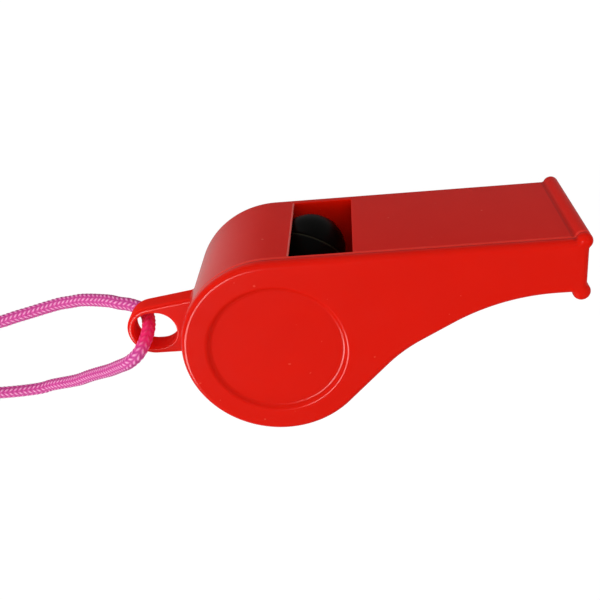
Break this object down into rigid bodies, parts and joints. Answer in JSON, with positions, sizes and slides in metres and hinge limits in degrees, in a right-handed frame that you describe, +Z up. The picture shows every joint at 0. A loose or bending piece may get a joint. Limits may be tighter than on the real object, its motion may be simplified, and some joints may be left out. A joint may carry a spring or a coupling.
{
  "type": "sports whistle",
  "caption": "Moulded plastic pea whistle: round drum with a loose ball, flat side cover, windway and window, lipped mouthpiece, and a braided cord lanyard through its eye.",
  "frame": {"origin": "on the surface it lies on, under the middle of the whistle's box, lanyard left out", "axes": "+X to the mouth, +Y to the window side, +Z up out of the side cover"},
  "size_m": [0.1091, 0.0273, 0.0173],
  "materials": {
    "red_plastic": "gloss moulded red",
    "black_plastic": "satin black with a moulding line",
    "pink_cord": "tight braid with a slight sheen",
    "tie_band": "woven elastic band"
  },
  "bodies": {
    "whistle": {"whistle_body": "red_plastic", "side_cover": "red_plastic", "lanyard_strands": "pink_cord", "lanyard_coil": "pink_cord", "lanyard_link": "pink_cord", "lanyard_knot": "pink_cord", "coil_tie": "tie_band"},
    "ball": {"pea": "black_plastic"}
  },
  "joints": [
    {"name": "pea_travel", "type": "slide", "parent": "whistle", "child": "ball", "axis": [-0.5299, -0.848, 0], "range_m": [0, 0.0125]}
  ]
}
